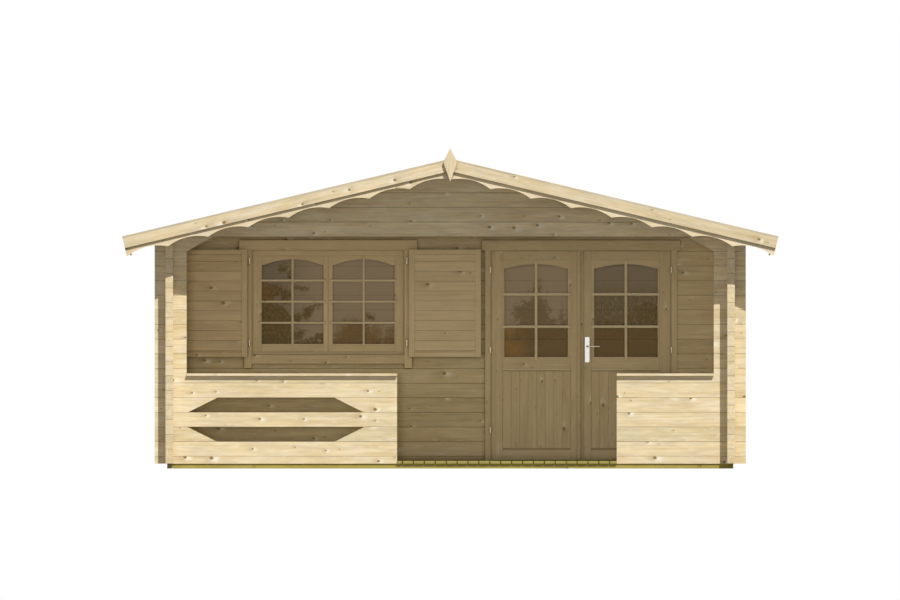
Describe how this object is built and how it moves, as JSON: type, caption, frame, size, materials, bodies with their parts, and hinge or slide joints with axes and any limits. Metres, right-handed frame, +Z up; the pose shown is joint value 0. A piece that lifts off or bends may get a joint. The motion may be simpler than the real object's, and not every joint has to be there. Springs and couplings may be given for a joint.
{
  "type": "log garden house with a roofed porch, double door and shuttered window",
  "caption": "Gabled log garden house: halved log walls, roofed porch with balustrades, scalloped verge boards, glazed double door, and a casement window between hinged shutters.",
  "frame": {"origin": "on the ground under the middle of the bounding box", "axes": "+X to the right seen from the porch, +Y to the back, +Z up"},
  "size_m": [6.052, 5.16, 2.9553],
  "materials": {
    "pine_logs": "planed, untreated",
    "pine_boards": "planed, untreated",
    "pine_joinery": "planed, untreated",
    "impregnated_pine": "pressure impregnated, sawn",
    "window_pane": "clear float glass",
    "hinge_steel": "zinc plated",
    "handle_white": "satin white"
  },
  "bodies": {
    "house": {"base_frame": "impregnated_pine", "terrace_deck": "impregnated_pine", "room_floor": "pine_boards", "left_side_wall": "pine_logs", "right_side_wall": "pine_logs", "back_wall": "pine_logs", "front_wall_left": "pine_logs", "front_wall_under_window": "pine_logs", "front_wall_middle": "pine_logs", "front_wall_right": "pine_logs", "front_wall_gable": "pine_logs", "porch_gable": "pine_logs", "corner_logs": "pine_logs", "left_balustrade": "pine_logs", "right_balustrade": "pine_logs", "balustrade_caps": "pine_boards", "ridge_purlin": "pine_boards", "side_purlins": "pine_boards", "left_roof_boards": "pine_boards", "right_roof_boards": "pine_boards", "left_scalloped_board": "pine_boards", "right_scalloped_board": "pine_boards", "left_bargeboard": "pine_boards", "right_bargeboard": "pine_boards", "left_back_bargeboard": "pine_boards", "right_back_bargeboard": "pine_boards", "left_verge_battens": "pine_boards", "right_verge_battens": "pine_boards", "eave_boards": "pine_boards", "finial": "pine_boards", "window_frame": "pine_joinery", "window_trim": "pine_joinery", "window_sashes": "pine_joinery", "window_glass": "window_pane", "door_frame": "pine_joinery", "door_trim": "pine_joinery", "door_hinges": "hinge_steel", "shutter_hinges": "hinge_steel"},
    "left_door": {"left_door": "pine_joinery", "left_door_glass": "window_pane", "left_door_knuckles": "hinge_steel"},
    "right_door": {"right_door": "pine_joinery", "right_door_glass": "window_pane", "handle_plates": "handle_white", "right_door_knuckles": "hinge_steel"},
    "lever": {"door_lever": "handle_white"},
    "left_shutter": {"left_shutter": "pine_joinery", "left_shutter_eyes": "hinge_steel"},
    "right_shutter": {"right_shutter": "pine_joinery", "right_shutter_eyes": "hinge_steel"}
  },
  "joints": [
    {"name": "left_door_hinge", "type": "hinge", "parent": "house", "child": "left_door", "pos_m": [0.37, -0.701, 1], "axis": [0, 0, -1], "range_deg": [0, 100]},
    {"name": "right_door_hinge", "type": "hinge", "parent": "house", "child": "right_door", "pos_m": [2.042, -0.701, 1], "axis": [0, 0, 1], "range_deg": [0, 100]},
    {"name": "lever_turn", "type": "hinge", "parent": "right_door", "child": "lever", "pos_m": [1.263, -0.7, 1.126], "axis": [0, 1, 0], "range_deg": [0, 40], "stiffness_Nm_per_rad": 1.5, "springref_deg": -28.65},
    {"name": "left_shutter_hinge", "type": "hinge", "parent": "house", "child": "left_shutter", "pos_m": [-1.852, -0.715, 1.5], "axis": [0, 0, 1], "range_deg": [0, 180]},
    {"name": "right_shutter_hinge", "type": "hinge", "parent": "house", "child": "right_shutter", "pos_m": [-0.4, -0.715, 1.5], "axis": [0, 0, -1], "range_deg": [0, 180]}
  ]
}
